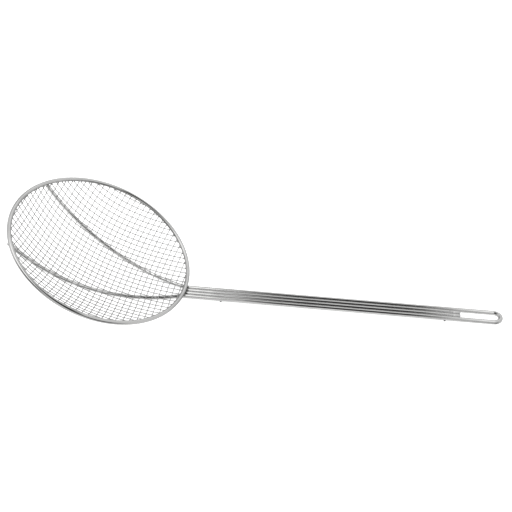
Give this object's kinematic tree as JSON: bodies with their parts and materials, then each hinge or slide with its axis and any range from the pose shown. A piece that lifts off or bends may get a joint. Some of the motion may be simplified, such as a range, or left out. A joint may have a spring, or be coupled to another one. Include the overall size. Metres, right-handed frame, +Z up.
{
  "type": "spider skimmer",
  "caption": "Shallow bowl of woven wire on a round rim and two curved ribs, with a long flat handle of parallel wires and a hanging loop.",
  "frame": {"origin": "middle of the overall length and width, at the underside of the two cross ties that the handle lies on", "axes": "+X runs along the handle from the bowl to the hanging loop, +Z is up, the bowl is at -X, opens upwards and leans towards the handle, and the frame is alike on both sides of Y = 0"},
  "size_m": [0.5028, 0.2, 0.1116],
  "materials": {
    "heavy_wire": "bright plated steel wire, faintly drawn along its length",
    "net_wire": "plated steel mesh wire, slightly duller than the frame"
  },
  "bodies": {
    "root": {"rim_ring": "heavy_wire", "frame_wire": "heavy_wire", "inner_wire_left": "heavy_wire", "inner_wire_right": "heavy_wire", "front_tie": "heavy_wire", "back_tie": "heavy_wire", "net_cross_01": "net_wire", "net_cross_02": "net_wire", "net_cross_03": "net_wire", "net_cross_04": "net_wire", "net_cross_05": "net_wire", "net_cross_06": "net_wire", "net_cross_07": "net_wire", "net_cross_08": "net_wire", "net_cross_09": "net_wire", "net_cross_10": "net_wire", "net_cross_11": "net_wire", "net_cross_12": "net_wire", "net_cross_13": "net_wire", "net_cross_14": "net_wire", "net_cross_15": "net_wire", "net_cross_16": "net_wire", "net_long_01": "net_wire", "net_long_02": "net_wire", "net_long_03": "net_wire", "net_long_04": "net_wire", "net_long_05": "net_wire", "net_long_06": "net_wire", "net_long_07": "net_wire", "net_long_08": "net_wire", "net_long_09": "net_wire", "net_long_10": "net_wire", "net_long_11": "net_wire", "net_long_12": "net_wire", "net_long_13": "net_wire", "net_long_14": "net_wire", "net_long_15": "net_wire", "net_long_16": "net_wire"}
  },
  "joints": []
}
